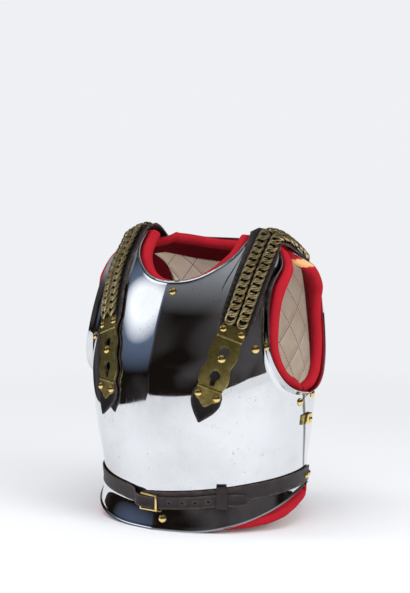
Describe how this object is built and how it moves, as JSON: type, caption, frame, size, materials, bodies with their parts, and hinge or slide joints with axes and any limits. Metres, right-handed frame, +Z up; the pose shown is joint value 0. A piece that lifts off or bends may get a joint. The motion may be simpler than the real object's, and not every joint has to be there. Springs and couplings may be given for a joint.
{
  "type": "cuirass",
  "caption": "Polished steel breastplate and backplate with red-edged quilted linings, chain-covered leather shoulder straps and a buckled waist belt",
  "frame": {"origin": "middle of the footprint, on the surface the cuirass stands on", "axes": "+Z up, -Y the way the wearer faces, +X the wearer's left"},
  "size_m": [0.366, 0.312, 0.4417],
  "materials": {
    "steel": "mirror-polished steel with fine scratches",
    "brass": "aged olive brass, worn brighter at the edges",
    "bright_brass": "polished brass",
    "chain_brass": "aged pale brass, dark between the links",
    "strap_leather": "black leather with worn pale edges",
    "belt_leather": "dark brown leather",
    "wool": "matt red wool",
    "canvas": "cream canvas quilted in diamonds with dark red thread"
  },
  "bodies": {
    "root": {"breastplate": "steel", "backplate": "steel", "breast_edging": "wool", "back_edging": "wool", "breast_lining": "canvas", "back_lining": "canvas", "shoulder_strap_left": "strap_leather", "keyhole_plate_left": "brass", "chains_left": "chain_brass", "strap_anchor_left": "brass", "strap_stud_upper_inner_left": "bright_brass", "strap_stud_upper_outer_left": "bright_brass", "strap_stud_lower_inner_left": "bright_brass", "strap_stud_lower_outer_left": "bright_brass", "strap_stud_rear_inner_left": "bright_brass", "strap_stud_rear_outer_left": "bright_brass", "keyhole_stud_left": "bright_brass", "shoulder_strap_right": "strap_leather", "keyhole_plate_right": "brass", "chains_right": "chain_brass", "strap_anchor_right": "brass", "strap_stud_upper_inner_right": "bright_brass", "strap_stud_upper_outer_right": "bright_brass", "strap_stud_lower_inner_right": "bright_brass", "strap_stud_lower_outer_right": "bright_brass", "strap_stud_rear_inner_right": "bright_brass", "strap_stud_rear_outer_right": "bright_brass", "keyhole_stud_right": "bright_brass", "neck_stud": "bright_brass", "flange_stud": "bright_brass", "armhole_stud_left": "bright_brass", "side_stud_left": "bright_brass", "back_stud_left": "bright_brass", "armhole_stud_right": "bright_brass", "side_stud_right": "bright_brass", "back_stud_right": "bright_brass", "waist_belt_right": "belt_leather", "waist_belt_left": "belt_leather", "belt_buckle": "bright_brass", "belt_keeper": "belt_leather", "belt_rivet_left_1": "bright_brass", "belt_rivet_left_2": "bright_brass", "side_eye_left": "brass", "side_hook_left": "bright_brass", "side_hook_stud_left": "bright_brass", "belt_rivet_right_1": "bright_brass", "belt_rivet_right_2": "bright_brass", "side_eye_right": "brass", "side_hook_right": "bright_brass", "side_hook_stud_right": "bright_brass"}
  },
  "joints": []
}
